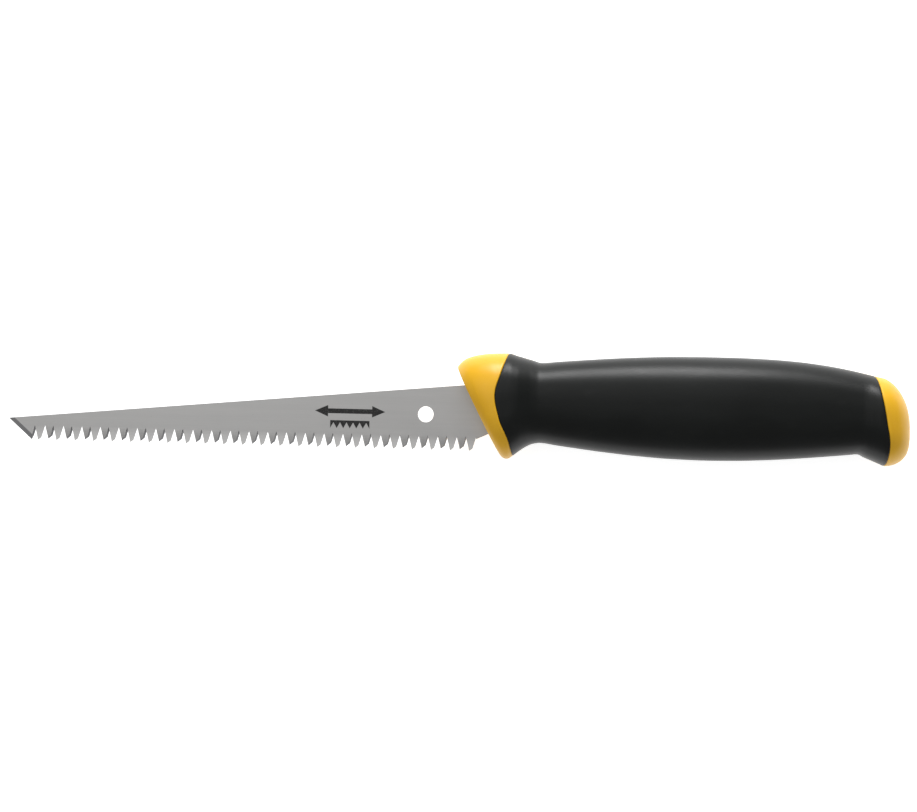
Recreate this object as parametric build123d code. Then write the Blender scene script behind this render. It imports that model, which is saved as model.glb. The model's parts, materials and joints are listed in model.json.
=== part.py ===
from build123d import *

import os
from math import cos, pi, radians, sin, tan

# Drywall (jab) saw: a fixed steel blade moulded into a two-material handle.
#
# Three pieces, each in its own STEP file:
#   blade        tempered steel blade with its tang
#   handle_core  hard plastic core moulded round the tang; its collar and butt cap show
#   soft_grip    soft rubber moulded over the core, between the collar and the cap
#
# The saw is drawn with x along it from the plunge point, y up from the line of the shorter
# teeth's tips towards the spine, and z across the blade from its middle plane.  It is stored lying
# on its side: the origin is under the middle of its bounding box, on the surface that it
# lies on, with +X towards the butt, +Y towards the spine and +Z up.
#
# All sizes are in millimetres and degrees.  "Setback" is a distance behind the point where
# the collar's flat front face crosses the line of the tooth tips.

# ---- blade -------------------------------------------------------------------------------
BLADE_THICKNESS = 1.2
TOOTH_PITCH = 25.4 / 8            # eight teeth to the inch
TOOTH_COUNT = 47
TOOTH_DEPTH = 4.4                 # tooth tip to the root of the gullet
TOOTH_LEADING_ANGLE = 14.0        # side of a tooth that faces the point, off square
TOOTH_TRAILING_ANGLE = 16.0       # side of a tooth that faces the handle, off square
LONG_TOOTH_DROP = 0.45            # every second tooth, from the first, is this much longer
TOOTH_SKEW = 17.0                 # each gullet is ground this far off square to the blade
TIP_BEVEL_ANGLE = 38.0            # rise of the third bevel, at the tip of each tooth
TIP_BEVEL_LEAN = 24.0             # how far the third bevel leans across the blade
POINT_RUN = 8.1                   # plunge point to the corner of the toothed edge
POINT_HEIGHT = 6.7                # plunge point above the tooth tips
POINT_BEVEL_WIDTH = 1.5           # knife bevel on each side of the plunge edge
POINT_EDGE_LAND = 0.12            # flat left on the knife edge
FIRST_TIP = 2.4                   # corner of the toothed edge to the first tooth tip
SPINE_HEIGHT = 21.35              # spine above the tooth tips, where it enters the collar
HEEL_GAP = 9.65                   # last tooth tip to the collar, along the tooth tips
HEEL_DEPTH = 3.36                 # plain edge above the tooth tips, behind the last tooth
HEEL_START = 2.0                  # last tooth tip to where that plain edge begins
HEEL_RISE = 24.5                  # slope of that plain edge up to the collar
HANG_HOLE_DIAMETER = 5.3
HANG_HOLE_TO_COLLAR = 18.6        # hole's centre to the collar, at the hole's height
HANG_HOLE_HEIGHT = 11.3           # hole's centre above the tooth tips

# ---- tang, the part of the blade inside the handle ------------------------------------------
TANG_LENGTH = 84.0                # end of the tang, setback
TANG_HEIGHT = 12.0
TANG_CENTRE = 15.0                # middle of the tang above the tooth tips
TANG_SHOULDER = 14.0              # where the tang has its full taper, setback
TANG_END_RADIUS = 4.0
TANG_SHOULDER_RADIUS = 3.0
LOCK_HOLE_DIAMETER = 6.0          # the core's plastic fills these
LOCK_HOLE_COUNT = 3
LOCK_HOLE_FIRST = 24.0            # first lock hole, setback
LOCK_HOLE_PITCH = 22.0

# ---- handle outside --------------------------------------------------------------------------
HANDLE_REACH = 133.0              # butt's end, setback
COLLAR_RAKE = 27.4                # lean of the collar's flat front face
COLLAR_TOP = 27.3                 # top edge of the flat front face
COLLAR_BOTTOM = -2.15             # bottom edge of the flat front face
COLLAR_FACE_WIDTH = 23.0
REST_WIDTH = 28.4                 # collar and cap are equally wide, so the saw lies level
LAND_WIDTH = 28.1                 # their sides are flattened to this, so that it lies still
CREST_TOP = 32.1                  # crest of the collar, above the tooth tips
CREST_BOTTOM = -1.95
CREST_TOP_SETBACK = 2.9
CREST_BOTTOM_SETBACK = 4.5
GUARD_DROP = 0.75                 # the guard's rounded nose hangs this far below the face
CROWN = ((0.18, 0.59), (0.42, 0.85), (0.69, 0.97))  # shares of the way to the crest, back and up
WAIST_SETBACK = 13.6              # narrow part behind the collar, where a finger sits
WAIST_TOP = 29.2
WAIST_BOTTOM = 2.75
WAIST_WIDTH = 24.4
BELLY_SETBACK = 67.5              # fullest part, in the palm
BELLY_TOP = 32.3
BELLY_BOTTOM = -1.65
BELLY_WIDTH = 27.8
BUTT_WAIST_FROM_END = 16.1        # narrow part in front of the butt cap
BUTT_WAIST_TOP = 28.4
BUTT_WAIST_BOTTOM = 1.7
BUTT_WAIST_WIDTH = 25.4
RIM_TOP_FROM_END = 9.9            # where the butt cap begins to round over
RIM_BOTTOM_FROM_END = 7.4
RIM_TOP = 27.0
RIM_BOTTOM = -1.9
BUTT_FLAT_TOP = 12.7              # flat left in the middle of the butt's end
BUTT_FLAT_BOTTOM = 4.5
BUTT_FLAT_WIDTH = 8.0
OVAL_SQUARENESS = 2.45            # 2 is a true ellipse, more is squarer
FRONT_EDGE_RADIUS = 0.5
BUTT_ROUNDING = 1.12              # how much more gently the butt's top corner turns than a circle
# Seams between the hard plastic and the soft grip, from top to bottom, each at a share of the
# height: the front one by its setback, the rear one by its distance from the butt's end.
FRONT_SEAM = (
    (1.15, 4.2), (1.0, 2.9), (0.83, 1.1), (0.59, -0.9), (0.36, 0.7), (0.15, 3.7), (0.0, 4.8), (-0.15, 5.3),
)
REAR_SEAM = (
    (1.15, 12.2), (1.0, 11.2), (0.81, 10.2), (0.52, 8.7), (0.2, 7.3), (0.0, 7.6), (-0.15, 8.6),
)

# ---- handle inside ---------------------------------------------------------------------------
GRIP_WALL = 2.8                   # soft grip over the core
FLANGE = 2.6                      # core's top and bottom walls under the grip
WEB_THICKNESS = 8.4               # core's middle web, which holds the tang
RIB = 2.4                         # core's cross ribs
POCKET_COUNT = 7                  # pockets a side, which the grip fills
POCKET_CORNER = 2.0
POCKET_START = 11.0               # first pocket, setback
POCKET_END_FROM_BUTT = 15.0       # last pocket's end to the butt's end
WINDOW_MARGIN = 2.5               # web left round each window through it, behind the tang

# ---- worked out ------------------------------------------------------------------------------
HALF_BLADE = BLADE_THICKNESS / 2
LAST_TIP = POINT_RUN + FIRST_TIP + (TOOTH_COUNT - 1) * TOOTH_PITCH
COLLAR_X = LAST_TIP + HEEL_GAP
END_X = COLLAR_X + HANDLE_REACH
TANG_END = COLLAR_X + TANG_LENGTH
WAIST_X = COLLAR_X + WAIST_SETBACK
BELLY_X = COLLAR_X + BELLY_SETBACK
BUTT_WAIST_X = END_X - BUTT_WAIST_FROM_END

# ---- how the shapes are drawn ------------------------------------------------------------------
CUTTER_PAST = 1.0                 # cutters run this far past what they cut
SECTION_POINTS = 24               # points round each section of the handle
PALM_TOP_FALL = 2.8               # how late the top falls away behind the belly; 1 is straight
FINGER_SHARES = (0.3, 0.6, 0.85, 1.0)  # sections from the crest to the waist, as shares of the way
FRONT_PALM_SHARES = (0.1, 0.35, 0.65, 1.0)  # the same from the waist to the belly
REAR_PALM_SHARES = (0.4, 0.7, 0.9, 1.0)  # the same from the belly to the butt waist
FLARE_SHARES = (0.35, 0.7, 1.0)   # the same from the butt waist to the cap's rim
BUTT_TURNS = (28, 52, 72, 90)     # sections over the rim, by the angle that it has turned
SAME_PLACE = 0.1                  # faces and edges nearer than this are in the same place
SAME_WAY = 0.99                   # cosine above which two directions are the same


def collar_face(y):
    """x of the collar's flat front face at height y."""
    return COLLAR_X - y * tan(radians(COLLAR_RAKE))


def flat_face(points):
    """A flat face with straight edges through the points."""
    return make_face(Polyline(*points, close=True))


def blend(first, last, share):
    """From first to last, starting and ending level."""
    return first + (last - first) * (1 - cos(pi * share)) / 2


# ---- blade -----------------------------------------------------------------------------------
def tooth_tip(index):
    return POINT_RUN + FIRST_TIP + index * TOOTH_PITCH


def gullet_root(index):
    """x of the root of the gullet behind tooth index, in the middle plane."""
    return tooth_tip(index + 1) - TOOTH_DEPTH * tan(radians(TOOTH_LEADING_ANGLE))


def tooth_drop(index):
    """How far tooth index reaches below the tips of the shorter teeth."""
    return LONG_TOOTH_DROP if index % 2 == 0 else 0


def wide_side(index):
    """The side (+1 or -1) on which tooth index is widest: the teeth take turns."""
    return 1 if index % 2 == 0 else -1


def across_blade(profile, lean, side):
    """The xy profile carried right through the blade towards side, leaning by a vector."""
    travel = (lean + Vector(0, 0, -side)) * (HALF_BLADE + CUTTER_PAST)
    return extrude(profile.moved(Location(travel * -1)), amount=2 * travel.length, dir=travel)


def gullet_cutter(index):
    """A V groove ground skewed across the blade, behind tooth index."""
    below = TOOTH_DEPTH + CUTTER_PAST
    root = gullet_root(index)
    groove = flat_face([
        (root, TOOTH_DEPTH),
        (root - below * tan(radians(TOOTH_TRAILING_ANGLE)), TOOTH_DEPTH - below),
        (root + below * tan(radians(TOOTH_LEADING_ANGLE)), TOOTH_DEPTH - below),
    ])
    side = wide_side(index)
    return across_blade(groove, Vector(-tan(radians(TOOTH_SKEW)), 0, 0), side)


def tip_bevel_cutter(index):
    """The third bevel, which leaves the tooth's point on its wide side."""
    drop = tooth_drop(index)
    tip = tooth_tip(index) + drop * tan(radians(TOOTH_LEADING_ANGLE))
    run = gullet_root(index) - tip
    rise = run * tan(radians(TIP_BEVEL_ANGLE))
    lift = HALF_BLADE * tan(radians(TIP_BEVEL_LEAN))
    below = lift - CUTTER_PAST
    profile = flat_face([
        (tip - run, lift - rise - drop),
        (tip - run, below - rise - drop),
        (tip + run, below - drop),
        (tip + run, lift + rise - drop),
    ])
    return across_blade(profile, Vector(0, tan(radians(TIP_BEVEL_LEAN)), 0), wide_side(index))


def point_bevel_cutter(side):
    """The knife bevel along the plunge edge, on one side of the blade."""
    start = Vector(0, POINT_HEIGHT, 0)
    edge = Vector(POINT_RUN, -LONG_TOOTH_DROP, 0) - start
    along = edge.normalized()
    inward = Vector(-along.Y, along.X, 0)
    slope = (HALF_BLADE - POINT_EDGE_LAND / 2) / POINT_BEVEL_WIDTH
    low = POINT_EDGE_LAND / 2 - slope * CUTTER_PAST
    high = HALF_BLADE + slope * CUTTER_PAST
    corners = [(-CUTTER_PAST, low), (POINT_BEVEL_WIDTH + CUTTER_PAST, high), (-CUTTER_PAST, high)]
    begin = start - along * POINT_RUN
    wedge = flat_face([begin + inward * u + Vector(0, 0, side * z) for u, z in corners])
    return extrude(wedge, amount=edge.length + 2 * POINT_RUN, dir=along)


def upright_edges(solid, x):
    """Edges along z at the given x."""
    return [e for e in solid.edges().filter_by(Axis.Z) if abs(e.center().X - x) < SAME_PLACE]


def blade_blank():
    """The blade's outline with its tang, before it is ground and pierced."""
    heel_x = LAST_TIP + HEEL_START
    heel_slope = tan(radians(HEEL_RISE))
    rise_to_collar = (COLLAR_X - heel_x) * heel_slope + HEEL_DEPTH
    entry_y = rise_to_collar / (1 + heel_slope * tan(radians(COLLAR_RAKE)))
    tang_low = TANG_CENTRE - TANG_HEIGHT / 2
    tang_high = TANG_CENTRE + TANG_HEIGHT / 2
    shoulder = COLLAR_X + TANG_SHOULDER
    outline = flat_face([
        (0, POINT_HEIGHT),
        (POINT_RUN, -LONG_TOOTH_DROP),
        (heel_x, -LONG_TOOTH_DROP),
        (heel_x, HEEL_DEPTH),
        (collar_face(entry_y), entry_y),
        (shoulder, tang_low),
        (TANG_END, tang_low),
        (TANG_END, tang_high),
        (shoulder, tang_high),
        (collar_face(SPINE_HEIGHT), SPINE_HEIGHT),
    ])
    blank = extrude(outline, amount=HALF_BLADE, both=True)
    blank = fillet(upright_edges(blank, TANG_END), TANG_END_RADIUS)
    return fillet(upright_edges(blank, shoulder), TANG_SHOULDER_RADIUS)


def make_blade():
    pin = Cylinder(HANG_HOLE_DIAMETER / 2, 2 * BLADE_THICKNESS)
    hole_x = collar_face(HANG_HOLE_HEIGHT) - HANG_HOLE_TO_COLLAR
    cutters = [Pos(hole_x, HANG_HOLE_HEIGHT, 0) * pin]
    lock_pin = Cylinder(LOCK_HOLE_DIAMETER / 2, 2 * BLADE_THICKNESS)
    for i in range(LOCK_HOLE_COUNT):
        lock_x = COLLAR_X + LOCK_HOLE_FIRST + i * LOCK_HOLE_PITCH
        cutters.append(Pos(lock_x, TANG_CENTRE, 0) * lock_pin)
    cutters += [gullet_cutter(i) for i in range(-1, TOOTH_COUNT)]
    cutters += [tip_bevel_cutter(i) for i in range(TOOTH_COUNT)]
    cutters += [point_bevel_cutter(1), point_bevel_cutter(-1)]
    return blade_blank() - cutters


# ---- handle outside --------------------------------------------------------------------------
def signed_power(value, power):
    return abs(value) ** power * (1 if value >= 0 else -1)


def oval(station, inset):
    """An oval face standing on the line from the station's bottom to its top."""
    top, bottom, width = station
    high, low = Vector(*top, 0), Vector(*bottom, 0)
    middle = (high + low) * 0.5
    tall = (high - low) * (0.5 - inset / (high - low).length)
    wide = Vector(0, 0, width / 2 - inset)
    points = []
    for i in range(SECTION_POINTS):
        turn = 2 * pi * i / SECTION_POINTS
        up = signed_power(cos(turn), 2 / OVAL_SQUARENESS)
        out = signed_power(sin(turn), 2 / OVAL_SQUARENESS)
        points.append(middle + tall * up + wide * out)
    return make_face(Spline(*points, periodic=True))


def collar_stations():
    """(top, bottom, width) of the collar's sections, from its flat face to its crest."""
    crest_top = (COLLAR_X + CREST_TOP_SETBACK, CREST_TOP)
    crest = (crest_top, (COLLAR_X + CREST_BOTTOM_SETBACK, CREST_BOTTOM))
    face = ((collar_face(COLLAR_TOP), COLLAR_TOP), (collar_face(COLLAR_BOTTOM), COLLAR_BOTTOM))
    stations = [(*face, COLLAR_FACE_WIDTH)]
    for along, rise in CROWN:
        top_x = face[0][0] + along * (crest[0][0] - face[0][0])
        bottom_x = face[1][0] + along * (crest[1][0] - face[1][0])
        top_y = COLLAR_TOP + rise * (CREST_TOP - COLLAR_TOP)
        bottom_y = COLLAR_BOTTOM + along * (CREST_BOTTOM - COLLAR_BOTTOM) - GUARD_DROP * sin(pi * along)
        width = COLLAR_FACE_WIDTH + rise * (REST_WIDTH - COLLAR_FACE_WIDTH)
        stations.append(((top_x, top_y), (bottom_x, bottom_y), width))
    stations.append((*crest, REST_WIDTH))
    return stations


def finger_stations():
    """Sections from the crest down to the waist."""
    top_x, bottom_x = COLLAR_X + CREST_TOP_SETBACK, COLLAR_X + CREST_BOTTOM_SETBACK
    stations = []
    for share in FINGER_SHARES:
        top = (top_x + share * (WAIST_X - top_x), CREST_TOP + share * (WAIST_TOP - CREST_TOP))
        low = CREST_BOTTOM + (WAIST_BOTTOM - CREST_BOTTOM) * sin(pi / 2 * share)
        bottom = (bottom_x + share * (WAIST_X - bottom_x), low)
        stations.append((top, bottom, blend(REST_WIDTH, WAIST_WIDTH, share)))
    return stations


def palm_top(x):
    """Top of the handle between the waist and the butt waist."""
    if x < BELLY_X:
        share = (x - WAIST_X) / (BELLY_X - WAIST_X)
        return WAIST_TOP + (BELLY_TOP - WAIST_TOP) * sin(pi / 2 * share)
    share = (x - BELLY_X) / (BUTT_WAIST_X - BELLY_X)
    return BELLY_TOP + (BUTT_WAIST_TOP - BELLY_TOP) * share**PALM_TOP_FALL


def palm_bottom(x):
    """Bottom of the handle between the waist and the butt waist."""
    if x < BELLY_X:
        share = (x - WAIST_X) / (BELLY_X - WAIST_X)
        return WAIST_BOTTOM + (BELLY_BOTTOM - WAIST_BOTTOM) * sin(pi / 2 * share)
    share = (x - BELLY_X) / (BUTT_WAIST_X - BELLY_X)
    return BELLY_BOTTOM + (BUTT_WAIST_BOTTOM - BELLY_BOTTOM) * (1 - cos(pi / 2 * share))


def palm_stations():
    """Sections from behind the waist, over the belly, to the butt waist."""
    legs = (
        (WAIST_X, BELLY_X, WAIST_WIDTH, BELLY_WIDTH, FRONT_PALM_SHARES),
        (BELLY_X, BUTT_WAIST_X, BELLY_WIDTH, BUTT_WAIST_WIDTH, REAR_PALM_SHARES),
    )
    stations = []
    for start, end, first_width, last_width, shares in legs:
        for share in shares:
            x = start + share * (end - start)
            width = blend(first_width, last_width, share)
            stations.append(((x, palm_top(x)), (x, palm_bottom(x)), width))
    return stations


def butt_stations():
    """Sections from the flare in front of the cap, over its rim, to the flat on its end."""
    rim_top_x, rim_bottom_x = END_X - RIM_TOP_FROM_END, END_X - RIM_BOTTOM_FROM_END
    stations = []
    for share in FLARE_SHARES:
        top_y = BUTT_WAIST_TOP + share * (RIM_TOP - BUTT_WAIST_TOP)
        bottom_y = BUTT_WAIST_BOTTOM + share * (RIM_BOTTOM - BUTT_WAIST_BOTTOM)
        top = (BUTT_WAIST_X + share * (rim_top_x - BUTT_WAIST_X), top_y)
        bottom = (BUTT_WAIST_X + share * (rim_bottom_x - BUTT_WAIST_X), bottom_y)
        stations.append((top, bottom, blend(BUTT_WAIST_WIDTH, REST_WIDTH, share)))
    for turn in BUTT_TURNS:
        out, left = sin(radians(turn)), cos(radians(turn))
        top_y = BUTT_FLAT_TOP + left**BUTT_ROUNDING * (RIM_TOP - BUTT_FLAT_TOP)
        bottom_y = BUTT_FLAT_BOTTOM + left * (RIM_BOTTOM - BUTT_FLAT_BOTTOM)
        top = (rim_top_x + out**BUTT_ROUNDING * RIM_TOP_FROM_END, top_y)
        bottom = (rim_bottom_x + out * RIM_BOTTOM_FROM_END, bottom_y)
        stations.append((top, bottom, BUTT_FLAT_WIDTH + left * (REST_WIDTH - BUTT_FLAT_WIDTH)))
    return stations


def handle_body(inset):
    """The handle's whole outside, or the same shape pulled in by inset."""
    stations = collar_stations() + finger_stations() + palm_stations() + butt_stations()
    if inset > 0:
        stations = stations[:-2]
    return loft([oval(station, inset) for station in stations])


def between_lands():
    """The slab that the sides of the collar and the cap are flattened to."""
    return Box(2 * (END_X + CUTTER_PAST), 2 * (CREST_TOP + CUTTER_PAST), LAND_WIDTH)


def front_seam():
    """Points down the seam between the collar and the grip."""
    height = CREST_TOP - CREST_BOTTOM
    return [(COLLAR_X + setback, CREST_BOTTOM + share * height) for share, setback in FRONT_SEAM]


def rear_seam():
    """Points down the seam between the grip and the butt cap."""
    height = RIM_TOP - RIM_BOTTOM
    return [(END_X - distance, RIM_BOTTOM + share * height) for share, distance in REAR_SEAM]


def grip_zone():
    """Everything between the two seams, right through the handle."""
    front, rear = front_seam(), rear_seam()
    outline = Spline(*front) + Line(front[-1], rear[-1]) + Spline(*rear) + Line(rear[0], front[0])
    return extrude(make_face(outline), amount=REST_WIDTH, both=True)


# ---- handle inside ---------------------------------------------------------------------------
def pocket_spans():
    """(start, end) along x of each pocket between the core's ribs."""
    first = COLLAR_X + POCKET_START
    last = END_X - POCKET_END_FROM_BUTT
    length = (last - first - (POCKET_COUNT - 1) * RIB) / POCKET_COUNT
    return [(first + i * (length + RIB), first + i * (length + RIB) + length) for i in range(POCKET_COUNT)]


def pocket_face(start, end, margin):
    """A pocket's outline, shrunk all round by margin."""
    left, right = start + margin, end - margin
    wall = GRIP_WALL + FLANGE + margin
    outline = flat_face([
        (left, palm_bottom(max(left, WAIST_X)) + wall),
        (right, palm_bottom(max(right, WAIST_X)) + wall),
        (right, palm_top(max(right, WAIST_X)) - wall),
        (left, palm_top(max(left, WAIST_X)) - wall),
    ])
    return fillet(outline.vertices(), POCKET_CORNER)


def pocket_cutters():
    """The pockets on both sides of the web, and the windows through it behind the tang."""
    cutters = []
    for start, end in pocket_spans():
        outline = pocket_face(start, end, 0)
        for side in (1, -1):
            web_face = Pos(0, 0, side * WEB_THICKNESS / 2)
            cutters.append(web_face * extrude(outline, amount=side * REST_WIDTH))
        if start + WINDOW_MARGIN > TANG_END:
            cutters.append(extrude(pocket_face(start, end, WINDOW_MARGIN), amount=WEB_THICKNESS, both=True))
    return cutters


def front_edges(body):
    """The rim of the collar's flat front face."""
    middle = Vector(collar_face(SPINE_HEIGHT / 2), SPINE_HEIGHT / 2, 0)
    ahead = Vector(-cos(radians(COLLAR_RAKE)), -sin(radians(COLLAR_RAKE)), 0)
    flat = [
        f
        for f in body.faces().filter_by(GeomType.PLANE)
        if abs((f.center() - middle).dot(ahead)) < SAME_PLACE and abs(f.normal_at().dot(ahead)) > SAME_WAY
    ]
    return flat[0].edges()


def make_handle(blade):
    """The hard core and the soft grip, which together fill the handle round the tang."""
    body = handle_body(0)
    body = fillet(front_edges(body), FRONT_EDGE_RADIUS) & between_lands()
    zone = grip_zone()
    bone = handle_body(GRIP_WALL) - pocket_cutters()
    grip = (body & zone) - (bone & zone)
    core = body - grip - blade
    return core, grip


# ---- the saw ---------------------------------------------------------------------------------
os.makedirs("parts", exist_ok=True)
blade_piece = make_blade()
core_piece, grip_piece = make_handle(blade_piece)
pieces = {"blade": blade_piece, "handle_core": core_piece, "soft_grip": grip_piece}
box = Compound(children=[Compound(piece.solids()) for piece in pieces.values()]).bounding_box()
to_rest = Pos(-(box.min.X + box.max.X) / 2, -(box.min.Y + box.max.Y) / 2, -box.min.Z)
for name, piece in pieces.items():
    placed = to_rest * Compound(piece.solids())
    placed.label = name
    export_step(placed, f"parts/{name}.step")
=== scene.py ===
"""A drywall saw lying on its side on a pale floor, under soft studio light.

The blade is the frame's own solid with its teeth bent to the two sides in turn.  The hard core
and the soft grip of the handle are drawn again here as finer skins, with rounded lips along
the seams where the two materials meet.  Sizes are in millimetres in the saw's own axes: x runs
from the plunge point to the butt, y up from the line of the shorter teeth's tips to the spine,
and z across the blade from its middle plane.
"""

import json
import math

import bmesh
import bpy
import numpy as np
from mathutils import Matrix, Vector


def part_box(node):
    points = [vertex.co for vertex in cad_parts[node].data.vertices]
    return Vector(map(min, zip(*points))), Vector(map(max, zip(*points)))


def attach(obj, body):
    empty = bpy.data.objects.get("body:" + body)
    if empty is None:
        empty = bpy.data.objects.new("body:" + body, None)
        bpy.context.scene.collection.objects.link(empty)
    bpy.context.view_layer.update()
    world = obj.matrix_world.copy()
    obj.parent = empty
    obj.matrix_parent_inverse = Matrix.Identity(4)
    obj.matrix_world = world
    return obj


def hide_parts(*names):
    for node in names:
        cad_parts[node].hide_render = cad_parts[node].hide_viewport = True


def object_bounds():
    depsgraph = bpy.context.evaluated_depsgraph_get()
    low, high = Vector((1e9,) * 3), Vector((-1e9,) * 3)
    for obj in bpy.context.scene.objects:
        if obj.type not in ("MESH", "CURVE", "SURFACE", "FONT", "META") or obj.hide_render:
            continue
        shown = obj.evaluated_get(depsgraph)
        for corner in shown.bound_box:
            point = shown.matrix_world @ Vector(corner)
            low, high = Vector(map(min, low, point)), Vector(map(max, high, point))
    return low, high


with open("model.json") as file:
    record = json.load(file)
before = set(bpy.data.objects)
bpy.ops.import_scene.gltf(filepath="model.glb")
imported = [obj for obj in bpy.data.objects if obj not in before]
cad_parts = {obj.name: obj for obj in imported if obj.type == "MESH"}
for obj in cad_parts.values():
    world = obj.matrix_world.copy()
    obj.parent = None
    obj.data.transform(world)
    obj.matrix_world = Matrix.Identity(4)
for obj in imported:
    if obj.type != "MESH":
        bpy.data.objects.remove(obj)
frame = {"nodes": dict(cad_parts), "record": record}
cad_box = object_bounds()

MM = 0.001

# ---- where the saw is in the frame ------------------------------------------------------------
LONG_TOOTH_DROP = 0.45            # the longer teeth reach this far below the others
blade_low, blade_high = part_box("blade")
BLADE_MIDDLE = (blade_low.z + blade_high.z) / 2
ORIGIN = Vector((cad_box[0].x, blade_low.y + LONG_TOOTH_DROP * MM, BLADE_MIDDLE))
MOUNTS = {mount["name"]: mount for mount in frame["record"]["mounts"]}
HOLE = (Vector(MOUNTS["hang_hole"]["pos_m"]) - ORIGIN) / MM

# ---- handle outside ----------------------------------------------------------------------------
# A setback is a distance behind the point where the collar's flat face crosses the line y = 0.
HOLE_TO_COLLAR = 18.6             # at the hole's height
COLLAR_RAKE = math.radians(27.4)  # lean of the collar's flat front face
COLLAR_X = HOLE.x + HOLE_TO_COLLAR + HOLE.y * math.tan(COLLAR_RAKE)
HANDLE_REACH = 133.0              # butt's end behind the collar, along the tooth tips
END_X = COLLAR_X + HANDLE_REACH
COLLAR_TOP = 27.3                 # top edge of the flat face
COLLAR_BOTTOM = -2.15
COLLAR_FACE_WIDTH = 23.0
REST_WIDTH = 28.4                 # width of the ovals at the collar's crest and the cap's rim
LAND_WIDTH = 28.1                 # the sides are flattened to this width
LAND_BLEND = 0.15                 # how gently the round sides turn into the flats
CREST_TOP = 32.1
CREST_BOTTOM = -1.95
CREST_TOP_SETBACK = 2.9
CREST_BOTTOM_SETBACK = 4.5
GUARD_DROP = 0.75                 # the guard's nose hangs this far below the flat face
# Sections of the collar, as shares of the way back to the crest and of the rise to it.
CROWN = ((0.07, 0.30), (0.18, 0.59), (0.42, 0.85), (0.69, 0.97))
WAIST_SETBACK = 13.6              # narrow part behind the collar
WAIST_TOP = 29.2
WAIST_BOTTOM = 2.75
WAIST_WIDTH = 24.4
BELLY_SETBACK = 67.5              # fullest part, in the palm
BELLY_TOP = 32.3
BELLY_BOTTOM = -1.65
BELLY_WIDTH = 27.8
BUTT_WAIST_FROM_END = 16.1
BUTT_WAIST_TOP = 28.4
BUTT_WAIST_BOTTOM = 1.7
BUTT_WAIST_WIDTH = 25.4
RIM_TOP_FROM_END = 9.9
RIM_BOTTOM_FROM_END = 7.4
RIM_TOP = 27.0
RIM_BOTTOM = -1.9
BUTT_FLAT_TOP = 12.7
BUTT_FLAT_BOTTOM = 4.5
BUTT_FLAT_WIDTH = 8.0
BUTT_ROUNDING = 1.12              # 1 is a quarter circle at the butt's top corner, more is gentler
PALM_TOP_FALL = 2.8               # how late the top falls away behind the belly; 1 is straight
OVAL_SQUARENESS = 2.45            # 2 is a true ellipse, more is squarer
# Sections between those, as shares of the way, or as the angle that the rim has turned.
FINGER_SHARES = (0.25, 0.5, 0.75, 1.0)
FRONT_PALM_SHARES = (0.10, 0.25, 0.4, 0.6, 0.8, 1.0)
REAR_PALM_SHARES = (0.2, 0.4, 0.6, 0.75, 0.88, 0.95, 1.0)
FLARE_SHARES = (0.3, 0.6, 0.85, 1.0)
BUTT_TURNS = (12, 24, 36, 48, 60, 70, 80, 90)
# Seams, from bottom to top: share of the height, and distance behind the collar or from the end.
FRONT_SEAM = (
    (-0.15, 5.3), (0.0, 4.8), (0.15, 3.7), (0.36, 0.7),
    (0.59, -0.9), (0.83, 1.1), (1.0, 2.9), (1.15, 4.2),
)
REAR_SEAM = (
    (-0.15, 8.6), (0.0, 7.6), (0.2, 7.3), (0.52, 8.7), (0.81, 10.2), (1.0, 11.2), (1.15, 12.2),
)

# ---- what the skins add ------------------------------------------------------------------------
FACE_ROUNDING = 0.45              # radius round the collar's flat front face
LIP_RADIUS = 0.38                 # rounding of each material where it meets the other
GRIP_WALL = 2.8                   # soft grip over the core
ROUND_POINTS = 224                # points round the handle
SOLVE_STEPS = 40                  # halvings when a seam is looked for
PACE_STEP = 0.01                  # stretch over which the skin's pace is measured
FACE_START = 0.02                 # where the pace just behind the flat face is measured
LIP_ROWS = 7                      # steps round a lip
FACE_ARC_ROWS = 8                 # steps round the flat face's rim
COLLAR_ROWS = 56                  # rows of skin on the collar, on the cap and on the grip
CAP_ROWS = 64
GRIP_ROWS = 230
BONE_ROWS = 24                    # rows on the core under the grip
FACE_RINGS = (0.3, 0.7, 0.93, 0.985, 1.0)  # rings on the flat face, as shares of its size
CAP_RINGS = (1.0, 0.93, 0.7, 0.35)  # the same on the flat end of the butt


# ---- shape maths -------------------------------------------------------------------------------
def through(knots, values, at):
    """A smooth curve through rows of values at the knots, which never swings past them.

    Between two knots each value is the cubic with the slopes chosen for its ends.  A knot's
    slope is the weighted harmonic mean of the straight slopes on its two sides, or nought
    where they differ in sign, at a crest or a dip.
    """
    knots, values, at = np.asarray(knots, float), np.asarray(values, float), np.asarray(at, float)
    gap = np.diff(knots)[:, None]
    slope = np.diff(values, axis=0) / gap
    before, after = slope[:-1], slope[1:]
    same_way = before * after > 0
    before_weight, after_weight = 2 * gap[1:] + gap[:-1], gap[1:] + 2 * gap[:-1]
    mean = (before_weight + after_weight) / (
        before_weight / np.where(same_way, before, 1) + after_weight / np.where(same_way, after, 1)
    )
    tangent = np.concatenate((slope[:1], np.where(same_way, mean, 0), slope[-1:]))
    i = np.clip(np.searchsorted(knots, at) - 1, 0, len(gap) - 1)
    width = gap[i]
    share = (at - knots[i])[..., None] / width
    rest = 1 - share
    return (
        values[i] * (1 + 2 * share) * rest**2
        + tangent[i] * width * share * rest**2
        + values[i + 1] * share**2 * (3 - 2 * share)
        - tangent[i + 1] * width * share**2 * rest
    )


def eased(first, last, share):
    """From first to last, starting and ending level: half a cosine wave."""
    return first + (last - first) * (1 - math.cos(math.pi * share)) / 2


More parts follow.
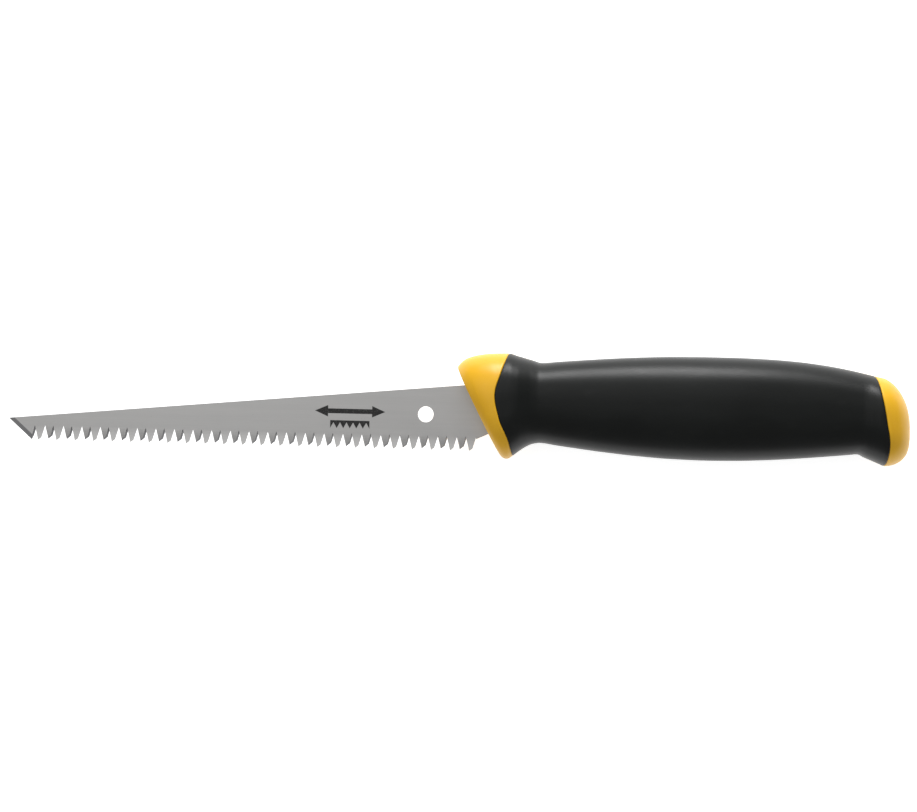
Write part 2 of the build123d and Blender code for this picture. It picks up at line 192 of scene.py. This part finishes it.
def collar_stations():
    """Sections from the collar's flat face to its crest: top x, y, bottom x, y and width."""
    face_top = COLLAR_X - COLLAR_TOP * math.tan(COLLAR_RAKE)
    face_bottom = COLLAR_X - COLLAR_BOTTOM * math.tan(COLLAR_RAKE)
    crest_top, crest_bottom = COLLAR_X + CREST_TOP_SETBACK, COLLAR_X + CREST_BOTTOM_SETBACK
    rows = [(face_top, COLLAR_TOP, face_bottom, COLLAR_BOTTOM, COLLAR_FACE_WIDTH)]
    for along, rise in CROWN:
        sag = GUARD_DROP * math.sin(math.pi * along)
        rows.append((
            face_top + along * (crest_top - face_top),
            COLLAR_TOP + rise * (CREST_TOP - COLLAR_TOP),
            face_bottom + along * (crest_bottom - face_bottom),
            COLLAR_BOTTOM + along * (CREST_BOTTOM - COLLAR_BOTTOM) - sag,
            COLLAR_FACE_WIDTH + rise * (REST_WIDTH - COLLAR_FACE_WIDTH),
        ))
    rows.append((crest_top, CREST_TOP, crest_bottom, CREST_BOTTOM, REST_WIDTH))
    return rows


def finger_stations():
    """Sections from the crest down to the waist: straight above, a quarter sine wave below."""
    top_x, bottom_x = COLLAR_X + CREST_TOP_SETBACK, COLLAR_X + CREST_BOTTOM_SETBACK
    waist_x = COLLAR_X + WAIST_SETBACK
    return [
        (
            top_x + share * (waist_x - top_x),
            CREST_TOP + share * (WAIST_TOP - CREST_TOP),
            bottom_x + share * (waist_x - bottom_x),
            CREST_BOTTOM + (WAIST_BOTTOM - CREST_BOTTOM) * math.sin(math.pi / 2 * share),
            eased(REST_WIDTH, WAIST_WIDTH, share),
        )
        for share in FINGER_SHARES
    ]


def palm_stations():
    """Sections over the belly: quarter sine waves up to it, and a slower fall behind it."""
    waist_x, belly_x = COLLAR_X + WAIST_SETBACK, COLLAR_X + BELLY_SETBACK
    butt_waist_x = END_X - BUTT_WAIST_FROM_END
    rows = []
    for share in FRONT_PALM_SHARES:
        x = waist_x + share * (belly_x - waist_x)
        wave = math.sin(math.pi / 2 * share)
        top = WAIST_TOP + (BELLY_TOP - WAIST_TOP) * wave
        bottom = WAIST_BOTTOM + (BELLY_BOTTOM - WAIST_BOTTOM) * wave
        rows.append((x, top, x, bottom, eased(WAIST_WIDTH, BELLY_WIDTH, share)))
    for share in REAR_PALM_SHARES:
        x = belly_x + share * (butt_waist_x - belly_x)
        top = BELLY_TOP + (BUTT_WAIST_TOP - BELLY_TOP) * share**PALM_TOP_FALL
        lift = 1 - math.cos(math.pi / 2 * share)
        bottom = BELLY_BOTTOM + (BUTT_WAIST_BOTTOM - BELLY_BOTTOM) * lift
        rows.append((x, top, x, bottom, eased(BELLY_WIDTH, BUTT_WAIST_WIDTH, share)))
    return rows


def butt_stations():
    """Sections over the cap: a straight flare to its rim, then quarter turns to its flat end."""
    rim_top_x, rim_bottom_x = END_X - RIM_TOP_FROM_END, END_X - RIM_BOTTOM_FROM_END
    waist_x = END_X - BUTT_WAIST_FROM_END
    rows = []
    for share in FLARE_SHARES:
        rows.append((
            waist_x + share * (rim_top_x - waist_x),
            BUTT_WAIST_TOP + share * (RIM_TOP - BUTT_WAIST_TOP),
            waist_x + share * (rim_bottom_x - waist_x),
            BUTT_WAIST_BOTTOM + share * (RIM_BOTTOM - BUTT_WAIST_BOTTOM),
            eased(BUTT_WAIST_WIDTH, REST_WIDTH, share),
        ))
    for turn in BUTT_TURNS:
        out, left = math.sin(math.radians(turn)), max(math.cos(math.radians(turn)), 0.0)
        rows.append((
            rim_top_x + out**BUTT_ROUNDING * RIM_TOP_FROM_END,
            BUTT_FLAT_TOP + left**BUTT_ROUNDING * (RIM_TOP - BUTT_FLAT_TOP),
            rim_bottom_x + out * RIM_BOTTOM_FROM_END,
            BUTT_FLAT_BOTTOM + left * (RIM_BOTTOM - BUTT_FLAT_BOTTOM),
            BUTT_FLAT_WIDTH + left * (REST_WIDTH - BUTT_FLAT_WIDTH),
        ))
    return rows


PARTS = (collar_stations(), finger_stations(), palm_stations(), butt_stations())
STATIONS = np.array(sum(PARTS, []))
WAIST_STATION = len(PARTS[0]) + len(PARTS[1]) - 1
BUTT_WAIST_STATION = WAIST_STATION + len(PARTS[2])
# How far along the handle each section is, in millimetres: the sum of the steps before it.  A
# step is the root of half the sum of the squares of its five changes.
STEPS = np.sqrt(np.sum(np.diff(STATIONS, axis=0) ** 2, axis=1) / 2)
KNOTS = np.concatenate(([0.0], np.cumsum(STEPS)))
ROUND = np.linspace(0, 2 * np.pi, ROUND_POINTS, endpoint=False)


def rounded(wave):
    """A sine or cosine wave made squarer: its size to the power of two over the squareness."""
    return np.sign(wave) * np.abs(wave) ** (2 / OVAL_SQUARENESS)


def flattened(z, limit):
    """z held inside +-limit: the smaller of its size and the limit, with a soft corner.

    The soft corner is half of (a + b - the root of ((a - b) squared + the blend squared)).
    """
    size = np.abs(z)
    return np.sign(z) * (size + limit - np.hypot(size - limit, LAND_BLEND)) / 2


def skin(along, inset):
    """Points of the handle's outside, or of the same shape pulled in by inset.

    The section at along is a squarish oval: its middle, plus half its height times the
    rounded cosine of the turn, plus half its width times the rounded sine.  along and inset
    are numbers or arrays with one value for each point round the handle.
    """
    along, inset = np.broadcast_arrays(np.asarray(along, float), np.asarray(inset, float))
    along, inset = np.broadcast_to(along, ROUND.shape), np.broadcast_to(inset, ROUND.shape)
    top_x, top_y, bottom_x, bottom_y, width = np.moveaxis(through(KNOTS, STATIONS, along), -1, 0)
    height = np.hypot(top_x - bottom_x, top_y - bottom_y)
    up = rounded(np.cos(ROUND)) * (0.5 - inset / height)
    x = (top_x + bottom_x) / 2 + up * (top_x - bottom_x)
    y = (top_y + bottom_y) / 2 + up * (top_y - bottom_y)
    z = (width / 2 - inset) * rounded(np.sin(ROUND))
    return np.stack((x, y, flattened(z, LAND_WIDTH / 2 - inset)), axis=-1)


def find_seam(seam, low_y, high_y, datum, sign, start, stop):
    """Where along the handle each line of points crosses a seam, by halving the stretch.

    A seam is a curve in side view: x = datum + sign * distance(share of the height).
    """
    shares, distances = np.array(seam)[:, 0], np.array(seam)[:, 1:]
    low, high = np.full(ROUND.shape, float(start)), np.full(ROUND.shape, float(stop))
    for _ in range(SOLVE_STEPS):
        middle = (low + high) / 2
        points = skin(middle, 0)
        share = (points[:, 1] - low_y) / (high_y - low_y)
        ahead = points[:, 0] < datum + sign * through(shares, distances, share)[:, 0]
        low, high = np.where(ahead, middle, low), np.where(ahead, high, middle)
    return (low + high) / 2


def pace(along):
    """Millimetres that the skin moves for one millimetre of along, at each point round it."""
    moved = skin(along + PACE_STEP, 0) - skin(along - PACE_STEP, 0)
    return np.linalg.norm(moved, axis=1) / (2 * PACE_STEP)


def span(first, last, count):
    """Rows of skin spread evenly from first to last, without either of them."""
    return [skin(first + (last - first) * i / (count + 1), 0) for i in range(1, count + 1)]


def lip(seam, side):
    """Rows of a rounded lip that ends on a seam, from the skin down to the lip's depth.

    A quarter circle: radius * (1 - sin) back from the seam, radius * (1 - cos) deep.
    side is -1 for a lip in front of its seam and +1 for one behind it.
    """
    reach = LIP_RADIUS / pace(seam)
    rows = []
    for i in range(LIP_ROWS + 1):
        turn = math.pi / 2 * i / LIP_ROWS
        back, deep = reach * (1 - math.sin(turn)), LIP_RADIUS * (1 - math.cos(turn))
        rows.append(skin(seam + side * back, deep))
    return rows


FRONT = find_seam(FRONT_SEAM, CREST_BOTTOM, CREST_TOP, COLLAR_X, 1, 0, KNOTS[WAIST_STATION])
REAR = find_seam(REAR_SEAM, RIM_BOTTOM, RIM_TOP, END_X, -1, KNOTS[BUTT_WAIST_STATION], KNOTS[-1])


# ---- meshes ------------------------------------------------------------------------------------
def closed_mesh(name, rows, ring):
    """A closed skin over a grid of points, rows along the handle and columns round it.

    Each point joins its neighbours in a quad.  As a ring, the last row joins the first.
    Otherwise each end row is closed by triangles to its own middle.
    """
    grid = np.array(rows)
    count, around = grid.shape[:2]
    numbers = np.arange(count * around).reshape(count, around)
    beside = np.roll(numbers, -1, axis=1)
    if ring:
        here, there = numbers, np.roll(numbers, -1, axis=0)
        beside_here, beside_there = beside, np.roll(beside, -1, axis=0)
    else:
        here, there = numbers[:-1], numbers[1:]
        beside_here, beside_there = beside[:-1], beside[1:]
    quads = np.stack((here, there, beside_there, beside_here), axis=-1).reshape(-1, 4)
    points = grid.reshape(-1, 3)
    fans = np.empty((0, 3), int)
    if not ring:
        first_pole, last_pole = len(points), len(points) + 1
        points = np.vstack((points, grid[0].mean(0), grid[-1].mean(0)))
        first_fan = np.stack((np.full(around, first_pole), numbers[0], beside[0]), axis=-1)
        last_fan = np.stack((np.full(around, last_pole), beside[-1], numbers[-1]), axis=-1)
        fans = np.vstack((first_fan, last_fan))
    loops = np.concatenate((quads.ravel(), fans.ravel()))
    totals = np.concatenate((np.full(len(quads), 4), np.full(len(fans), 3)))
    starts = np.concatenate(([0], np.cumsum(totals)[:-1]))
    mesh = bpy.data.meshes.new(name)
    mesh.vertices.add(len(points))
    mesh.vertices.foreach_set("co", (points * MM + np.array(ORIGIN)).ravel())
    mesh.loops.add(len(loops))
    mesh.loops.foreach_set("vertex_index", loops.astype(np.int32))
    mesh.polygons.add(len(totals))
    mesh.polygons.foreach_set("loop_start", starts.astype(np.int32))
    mesh.polygons.foreach_set("use_smooth", np.ones(len(totals), bool))
    mesh.update(calc_edges=True)
    mesh.validate()
    piece = bpy.data.objects.new(name, mesh)
    bpy.context.scene.collection.objects.link(piece)
    return piece


def face_rows():
    """The collar's flat front face and its rounded rim: rings about its middle, then an arc."""
    reach = FACE_ROUNDING / pace(np.full(ROUND.shape, FACE_START))
    flat_edge = skin(0, FACE_ROUNDING)
    middle = flat_edge.mean(0)
    rows = [middle + share * (flat_edge - middle) for share in FACE_RINGS]
    for i in range(1, FACE_ARC_ROWS + 1):
        turn = math.pi / 2 * i / FACE_ARC_ROWS
        rows.append(skin(reach * (1 - math.cos(turn)), FACE_ROUNDING * (1 - math.sin(turn))))
    return rows, reach


def wall(first, last):
    """Rows of the face between the core and the grip, from first to last."""
    shares = np.linspace(0, 1, BONE_ROWS)
    return [skin(first + (last - first) * share, GRIP_WALL) for share in shares]


def core_rows():
    """The hard core from its front face to the butt: collar, bone under the grip, and cap."""
    rows, reach = face_rows()
    front_lip, rear_lip = FRONT - LIP_RADIUS / pace(FRONT), REAR + LIP_RADIUS / pace(REAR)
    rows += span(reach, front_lip, COLLAR_ROWS)
    rows += lip(FRONT, -1)
    rows += wall(FRONT, REAR)
    rows += lip(REAR, 1)[::-1]
    rows += span(rear_lip, KNOTS[-1], CAP_ROWS)
    flat = skin(KNOTS[-1], 0)
    middle = flat.mean(0)
    return rows + [middle + share * (flat - middle) for share in CAP_RINGS]


def grip_rows():
    """The soft grip as a sleeve: its outside from lip to lip, and its inside on the core."""
    front_lip, rear_lip = FRONT + LIP_RADIUS / pace(FRONT), REAR - LIP_RADIUS / pace(REAR)
    rows = lip(FRONT, 1)[::-1]
    rows += span(front_lip, rear_lip, GRIP_ROWS)
    rows += lip(REAR, -1)
    return rows + wall(REAR, FRONT)


# ---- blade -------------------------------------------------------------------------------------
TOOTH_PITCH = 25.4 / 8
TOOTH_COUNT = 47
TOOTH_DEPTH = 4.4
TOOTH_LEADING_ANGLE = math.radians(14)
POINT_RUN = 8.1                   # plunge point to the corner of the toothed edge
FIRST_TIP = 2.4                   # that corner to the first tooth's tip
FIRST_ROOT = POINT_RUN + FIRST_TIP - TOOTH_DEPTH * math.tan(TOOTH_LEADING_ANGLE)
BEND_HEIGHT = 3.9                 # the teeth begin to bend along a line at this height
BEND_CUTS = 4                     # lines along which a bent tooth has points
BEND_POWER = 1.7                  # 1 is a straight bend, more is a curl that begins gently
TOOTH_SET = 0.25                  # how far a tooth's tip is bent out of the blade's plane
MERGE_DISTANCE = 1e-7             # metres


def set_blade(node):
    """A copy of the blade with its teeth bent to the two sides in turn, as a saw's are set.

    The mesh is cut along a few level lines.  Below the first, a point moves across the blade
    by the set times the share of the way down the tooth to a power, to +z on even teeth and
    to -z on odd ones.
    """
    mesh = node.data.copy()
    mesh.name = "set_blade"
    if "custom_normal" in mesh.attributes:
        mesh.attributes.remove(mesh.attributes["custom_normal"])
    work = bmesh.new()
    work.from_mesh(mesh)
    bmesh.ops.remove_doubles(work, verts=work.verts, dist=MERGE_DISTANCE)
    for cut in range(BEND_CUTS):
        place = ORIGIN + Vector((0, BEND_HEIGHT * (1 - cut / BEND_CUTS), 0)) * MM
        everything = work.verts[:] + work.edges[:] + work.faces[:]
        bmesh.ops.bisect_plane(work, geom=everything, plane_co=place, plane_no=(0, 1, 0))
    work.to_mesh(mesh)
    work.free()
    points = np.empty(len(mesh.vertices) * 3)
    mesh.vertices.foreach_get("co", points)
    points = points.reshape(-1, 3)
    x, y, _ = ((points - np.array(ORIGIN)) / MM).T
    tooth = np.floor((x - FIRST_ROOT) / TOOTH_PITCH)
    down = np.clip((BEND_HEIGHT - y) / BEND_HEIGHT, 0, None)
    side = np.where(tooth % 2 == 0, 1, -1) * ((tooth >= 0) & (tooth < TOOTH_COUNT))
    points[:, 2] += side * down**BEND_POWER * TOOTH_SET * MM
    mesh.vertices.foreach_set("co", points.ravel())
    mesh.polygons.foreach_set("use_smooth", np.zeros(len(mesh.polygons), bool))
    mesh.update()
    piece = bpy.data.objects.new("set_blade", mesh)
    bpy.context.scene.collection.objects.link(piece)
    return piece


# ---- shader maths ------------------------------------------------------------------------------
class Amount:
    """A number that varies over a surface.  Python's operators add Math nodes after it."""

    def __init__(self, finish, socket):
        self.finish = finish
        self.socket = socket

    def calc(self, operation, *values):
        """A Math node on these values, in their order."""
        return self.finish.node("ShaderNodeMath", {"operation": operation}, dict(enumerate(values)))

    def __add__(self, other):
        return self.calc("ADD", self, other)

    __radd__ = __add__

    def __sub__(self, other):
        return self.calc("SUBTRACT", self, other)

    def __rsub__(self, other):
        return self.calc("SUBTRACT", other, self)

    def __mul__(self, other):
        return self.calc("MULTIPLY", self, other)

    __rmul__ = __mul__

    def __abs__(self):
        return self.calc("ABSOLUTE", self)

    def smaller(self, other):
        """The smaller of the two."""
        return self.calc("MINIMUM", self, other)

    def larger(self, other):
        """The larger of the two."""
        return self.calc("MAXIMUM", self, other)

    def rise(self, low, high):
        """From 0 at low to 1 at high, smoothly, and level outside them."""
        settings = {"interpolation_type": "SMOOTHSTEP"}
        values = {"Value": self, "From Min": low, "From Max": high}
        return self.finish.node("ShaderNodeMapRange", settings, values)

    def fall(self, low, high):
        """From 1 at low to 0 at high, smoothly, and level outside them."""
        return 1 - self.rise(low, high)


class Finish:
    """A node material being built.  Places on it are in millimetres in the saw's own axes."""

    def __init__(self, name, metallic=0.0, ior=1.5, specular=0.5):
        self.material = bpy.data.materials.new(name)
        self.material.use_nodes = True
        self.tree = self.material.node_tree
        self.shader = self.tree.nodes["Principled BSDF"]
        self.shader.inputs["Metallic"].default_value = metallic
        self.shader.inputs["IOR"].default_value = ior
        self.shader.inputs["Specular IOR Level"].default_value = specular
        objects = self.node("ShaderNodeTexCoord", {}, {}, out="Object")
        shifted = self.vector("SUBTRACT", objects, tuple(ORIGIN))
        self.place = self.vector("SCALE", shifted, scale=1 / MM)
        self.x, self.y, self.z = self.parts(self.place)

    def plug(self, socket, value):
        """Links an Amount to the socket, or sets it to a plain number or tuple."""
        if isinstance(value, Amount):
            self.tree.links.new(value.socket, socket)
        else:
            socket.default_value = value

    def node(self, kind, settings, values, out=0):
        """A node of this kind, with its settings, and then values or links on its sockets."""
        made = self.tree.nodes.new(kind)
        for name, value in settings.items():
            setattr(made, name, value)
        for name, value in values.items():
            self.plug(made.inputs[name], value)
        return Amount(self, made.outputs[out])

    def vector(self, operation, first, second=(0, 0, 0), scale=1.0):
        """A Vector Math node."""
        values = {0: first, 1: second}
        if operation == "SCALE":
            values = {0: first, "Scale": scale}
        return self.node("ShaderNodeVectorMath", {"operation": operation}, values)

    def parts(self, vector):
        """The x, y and z of a vector, as three amounts."""
        split = self.node("ShaderNodeSeparateXYZ", {}, {0: vector}).socket.node
        return [Amount(self, socket) for socket in split.outputs]

    def grain(self, size, stretch=(1, 1, 1), detail=2.0, shift=0.0):
        """Noise from 0 to 1 with features of about size millimetres, longer along stretch."""
        scale = tuple(1 / (size * s) for s in stretch)
        moves = {"Vector": self.place, "Scale": scale, "Location": (shift,) * 3}
        place = self.node("ShaderNodeMapping", {}, moves)
        values = {"Vector": place, "Scale": 1.0, "Detail": detail}
        return self.node("ShaderNodeTexNoise", {}, values)

    def mix(self, share, first, second):
        """Colour from first, where share is 0, to second, where it is 1."""
        values = {0: share, 6: first, 7: second}
        return self.node("ShaderNodeMix", {"data_type": "RGBA"}, values, out=2)

    def bump(self, height, depth, after=None):
        """A bump of height (0 to 1) times depth in millimetres, on top of another bump."""
        values = {"Height": height, "Distance": depth * MM, "Strength": 1.0}
        if after is not None:
            values["Normal"] = after
        return self.node("ShaderNodeBump", {}, values)

    def done(self, **values):
        """Plugs the shader's sockets, named with underscores for spaces."""
        for name, value in values.items():
            self.plug(self.shader.inputs[name.replace("_", " ")], value)
        return self.material


# ---- steel -------------------------------------------------------------------------------------
MARK_X = HOLE.x - 25.3            # middle of the printed mark
ARROW_Y = HOLE.y + 0.4
ARROW_HALF_LENGTH = 11.8
ARROW_HEAD = 4.4                  # length of each head
ARROW_HALF_HEIGHT = 1.9
SHAFT_HALF_HEIGHT = 0.80
TEETH_Y = HOLE.y - 4.0            # middle of the row of printed teeth
TEETH_HALF_LENGTH = 6.6
TEETH_PITCH = 2.2
TEETH_HALF_HEIGHT = 1.3
NOTCH_DEPTH = 0.75                # share of the row's height that its notches reach
INK_EDGE = 0.05                   # half the width of the soft edge of the ink
FRONT_SIDE = (0.3, 0.5)           # z over which the print comes in, so it is on one side only


def printed_mark(finish):
    """1 on the printed mark: a double arrow for the stroke, over a short row of teeth.

    The arrow is a bar joined to two heads that narrow evenly to their tips.  The row of teeth
    is filled from its flat top down to a triangle wave.
    """
    along = finish.x - MARK_X
    far = abs(along)
    off = abs(finish.y - ARROW_Y)
    low = finish.y - TEETH_Y
    neck = ARROW_HALF_LENGTH - ARROW_HEAD
    slope = ARROW_HALF_HEIGHT / ARROW_HEAD
    head = ((ARROW_HALF_LENGTH - far) * slope - off).smaller(far - neck)
    shaft = (SHAFT_HALF_HEIGHT - off).smaller(neck + INK_EDGE - far)
    steepness = 4 * TEETH_HALF_HEIGHT / TEETH_PITCH * NOTCH_DEPTH
    notches = along.calc("PINGPONG", along, TEETH_PITCH / 2) * steepness
    row = (low + TEETH_HALF_HEIGHT - notches).smaller(TEETH_HALF_HEIGHT - low)
    inside = head.larger(shaft).larger(row.smaller(TEETH_HALF_LENGTH - far))
    return inside.rise(-INK_EDGE, INK_EDGE) * finish.z.rise(*FRONT_SIDE)


STEEL_DARK = (0.46, 0.46, 0.455, 1)
STEEL_PALE = (0.66, 0.65, 0.64, 1)
STEEL_SPECK = (0.30, 0.30, 0.30, 1)
STEEL_GROUND = (0.42, 0.42, 0.43, 1)
# Near-black colour painted as shade on the gullets' steep walls and the blade's thin edges.
STEEL_PAINTED_SHADE = (0.06, 0.06, 0.062, 1)
INK = (0.006, 0.006, 0.006, 1)
INK_ROUGHNESS = 0.5
GROUND_FACING = (0.95, 0.985)     # share of the normal along z, at which a bevel counts as ground
PAINTED_SHADE_FACING = (0.45, 0.7)        # the same for the steep walls of the gullets, painted with shade


def steel():
    """Satin strip steel, ground along its length, with duller ground teeth and bevels, and with
    painted shade on the gullets' steep walls and the blade's edges.
    """
    finish = Finish("satin_steel", metallic=1.0)
    normal = finish.node("ShaderNodeNewGeometry", {}, {}, out="True Normal")
    facing = abs(finish.parts(normal)[2])
    ground = facing.fall(*GROUND_FACING)
    # Mask for the painted shade: surfaces that face along the blade's plane.
    painted_shade = facing.fall(*PAINTED_SHADE_FACING)
    lines = finish.grain(0.16, (60, 1, 1), detail=3.0)
    broad = finish.grain(1.4, (30, 1, 1), detail=2.0, shift=7.0)
    cloud = finish.grain(14.0, (1.6, 1, 1), detail=3.0, shift=3.0)
    speck = finish.grain(0.5, detail=4.0, shift=11.0).rise(0.66, 0.78)
    worn = finish.grain(5.0, detail=3.0, shift=19.0)
    thin_ink = finish.grain(0.35, detail=3.0, shift=5.0).rise(0.3, 0.5)
    ink = printed_mark(finish) * (0.9 + 0.1 * thin_ink)
    shade = 0.5 + 0.30 * (lines - 0.5) + 0.24 * (broad - 0.5) + 0.34 * (cloud - 0.5)
    tone = finish.mix(shade, STEEL_DARK, STEEL_PALE)
    tone = finish.mix(speck * 0.35, tone, STEEL_SPECK)
    tone = finish.mix(ground * 0.8, tone, STEEL_GROUND)
    # Painted shade: near-black steel on the steep gullet walls and the blade's edges.
    tone = finish.mix(painted_shade * 0.9, tone, STEEL_PAINTED_SHADE)
    tone = finish.mix(ink, tone, INK)
    rough = 0.36 + 0.12 * (cloud - 0.5) + 0.10 * (lines - 0.5) - 0.06 * ground + 0.05 * worn
    scratches = finish.bump(lines, 0.004)
    return finish.done(
        Base_Color=tone,
        Roughness=rough * (1 - ink) + INK_ROUGHNESS * ink,
        Metallic=1 - ink,
        Normal=finish.bump(broad, 0.006, scratches),
    )


# ---- hard plastic and soft rubber ---------------------------------------------------------------
PARTING_HALF_WIDTH = 0.10         # mould's parting line, round the handle in the blade's plane
PARTING_HEIGHT = 0.05
PLASTIC_DEEP = (0.86, 0.465, 0.014, 1)
PLASTIC_PALE = (0.93, 0.520, 0.020, 1)
PLASTIC_PIT = (0.64, 0.29, 0.01, 1)
PLASTIC_SCUFF = (0.92, 0.60, 0.10, 1)
RUBBER_DEEP = (0.0026, 0.0036, 0.0032, 1)
RUBBER_PALE = (0.0046, 0.0058, 0.0053, 1)
RUBBER_RUBBED = (0.010, 0.011, 0.0105, 1)
RUBBER_DUST = (0.10, 0.10, 0.095, 1)


def parting_line(finish):
    """1 on the fine ridge that the two halves of the mould leave in the middle plane."""
    return abs(finish.z).fall(PARTING_HALF_WIDTH * 0.4, PARTING_HALF_WIDTH)


def hard_plastic():
    """Yellow moulded plastic with a fine satin texture and faint flow marks."""
    finish = Finish("yellow_hard_plastic", ior=1.5, specular=0.4)
    flow = finish.grain(16.0, (2.2, 1, 1), detail=3.0)
    texture = finish.grain(0.22, detail=3.0, shift=4.0)
    scuff = finish.grain(2.6, (1.8, 1, 1), detail=5.0, shift=9.0).rise(0.60, 0.80)
    tone = finish.mix(flow.rise(0.25, 0.75), PLASTIC_DEEP, PLASTIC_PALE)
    tone = finish.mix(texture.rise(0.35, 0.75) * 0.10, tone, PLASTIC_PIT)
    tone = finish.mix(scuff * 0.12, tone, PLASTIC_SCUFF)
    rough = 0.35 + 0.10 * (flow - 0.5) + 0.12 * scuff + 0.08 * (texture - 0.5)
    dimples = finish.bump(texture, 0.010)
    ridge = finish.bump(parting_line(finish), PARTING_HEIGHT, dimples)
    return finish.done(Base_Color=tone, Roughness=rough, Normal=ridge)


def soft_rubber():
    """Black soft-touch rubber with a fine matt grain and a little pale dust in it."""
    finish = Finish("black_soft_rubber", ior=1.45, specular=0.32)
    cloud = finish.grain(11.0, (1.8, 1, 1), detail=4.0)
    grain = finish.grain(0.28, detail=4.0, shift=6.0)
    rubbed = finish.grain(3.2, (2.5, 1, 1), detail=5.0, shift=14.0).rise(0.52, 0.8)
    dust = finish.grain(0.40, detail=2.0, shift=21.0).rise(0.72, 0.80)
    tone = finish.mix(cloud.rise(0.3, 0.7), RUBBER_DEEP, RUBBER_PALE)
    tone = finish.mix(rubbed * 0.4, tone, RUBBER_RUBBED)
    tone = finish.mix(dust * 0.20, tone, RUBBER_DUST)
    rough = 0.38 + 0.10 * (cloud - 0.5) - 0.05 * rubbed + 0.10 * (grain - 0.5)
    pebbles = finish.bump(grain, 0.014)
    ridge = finish.bump(parting_line(finish), PARTING_HEIGHT, pebbles)
    return finish.done(Base_Color=tone, Roughness=rough, Normal=ridge)


# ---- the saw -----------------------------------------------------------------------------------
def dress(piece, material):
    """The piece's only material."""
    piece.data.materials.clear()
    piece.data.materials.append(material)


blade = set_blade(frame["nodes"]["blade"])
dress(blade, steel())
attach(blade, "root")
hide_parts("blade")

hard_core = closed_mesh("hard_core", core_rows(), ring=False)
dress(hard_core, hard_plastic())
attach(hard_core, "root")
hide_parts("handle_core")

grip_sleeve = closed_mesh("grip_sleeve", grip_rows(), ring=True)
dress(grip_sleeve, soft_rubber())
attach(grip_sleeve, "root")
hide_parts("soft_grip")

# ---- floor, light and camera --------------------------------------------------------------------
FLOOR_HALF = 4.0                  # metres
FLOOR_GLOW = 0.80
FLOOR_DEEP = (0.92, 0.92, 0.92, 1)
FLOOR_PALE = (0.94, 0.94, 0.94, 1)
WORLD_STRENGTH = 0.33


def make_floor():
    """A flat square under the saw, in pale matt paint with a little glow of its own."""
    mesh = bpy.data.meshes.new("studio_floor")
    corners = np.array([(-1, -1), (1, -1), (1, 1), (-1, 1)]) * FLOOR_HALF
    points = np.column_stack((corners, np.full(4, cad_box[0].z)))
    mesh.from_pydata(points.tolist(), [], [(0, 1, 2, 3)])
    floor = bpy.data.objects.new("studio_floor", mesh)
    bpy.context.scene.collection.objects.link(floor)
    finish = Finish("pale_floor", specular=0.0)
    tone = finish.mix(finish.grain(60.0), FLOOR_DEEP, FLOOR_PALE)
    finish.shader.inputs["Emission Strength"].default_value = FLOOR_GLOW
    mesh.materials.append(finish.done(Base_Color=tone, Roughness=0.9, Emission_Color=(1, 1, 1, 1)))


def soft_box(name, place, size, power, target):
    """A rectangular soft light of this size and power in watts at place, facing the target."""
    light = bpy.data.lights.new(name, "AREA")
    light.shape = "RECTANGLE"
    light.size, light.size_y = size
    light.energy = power
    lamp = bpy.data.objects.new(name, light)
    bpy.context.scene.collection.objects.link(lamp)
    lamp.location = place
    lamp.rotation_euler = (Vector(target) - Vector(place)).to_track_quat("-Z", "Y").to_euler()


make_floor()
soft_box("window_side", (0.035, 0.80, 0.30), size=(0.35, 0.36), power=6.4, target=(0.035, 0, 0.01))
soft_box("overhead", (-0.30, 0.55, 1.4), size=(1.4, 1.1), power=3.5, target=(0, 0, 0.01))
world = bpy.data.worlds.new("studio")
bpy.context.scene.world = world
world.use_nodes = True
backdrop = world.node_tree.nodes["Background"]
backdrop.inputs["Color"].default_value = (1, 1, 1, 1)
backdrop.inputs["Strength"].default_value = WORLD_STRENGTH

CAMERA_AWAY = 0.600               # metres
CAMERA_YAW = math.radians(4.705)
CAMERA_ROLL = math.radians(1.388)
CAMERA_LENS = 71.0
CAMERA_SENSOR = 36.0
CAMERA_TARGET = ORIGIN + Vector((152.57, 14.32, 0)) * MM

lens = bpy.data.cameras.new("camera")
lens.lens = CAMERA_LENS
lens.sensor_width = CAMERA_SENSOR
camera = bpy.data.objects.new("camera", lens)
bpy.context.scene.collection.objects.link(camera)
turned = Matrix.Rotation(CAMERA_YAW, 3, "Y") @ Matrix.Rotation(CAMERA_ROLL, 3, "Z")
camera_place = CAMERA_TARGET + turned @ Vector((0, 0, CAMERA_AWAY))
camera.matrix_world = Matrix.Translation(camera_place) @ turned.to_4x4()
bpy.context.scene.camera = camera
bpy.context.scene.view_settings.view_transform = "Standard"
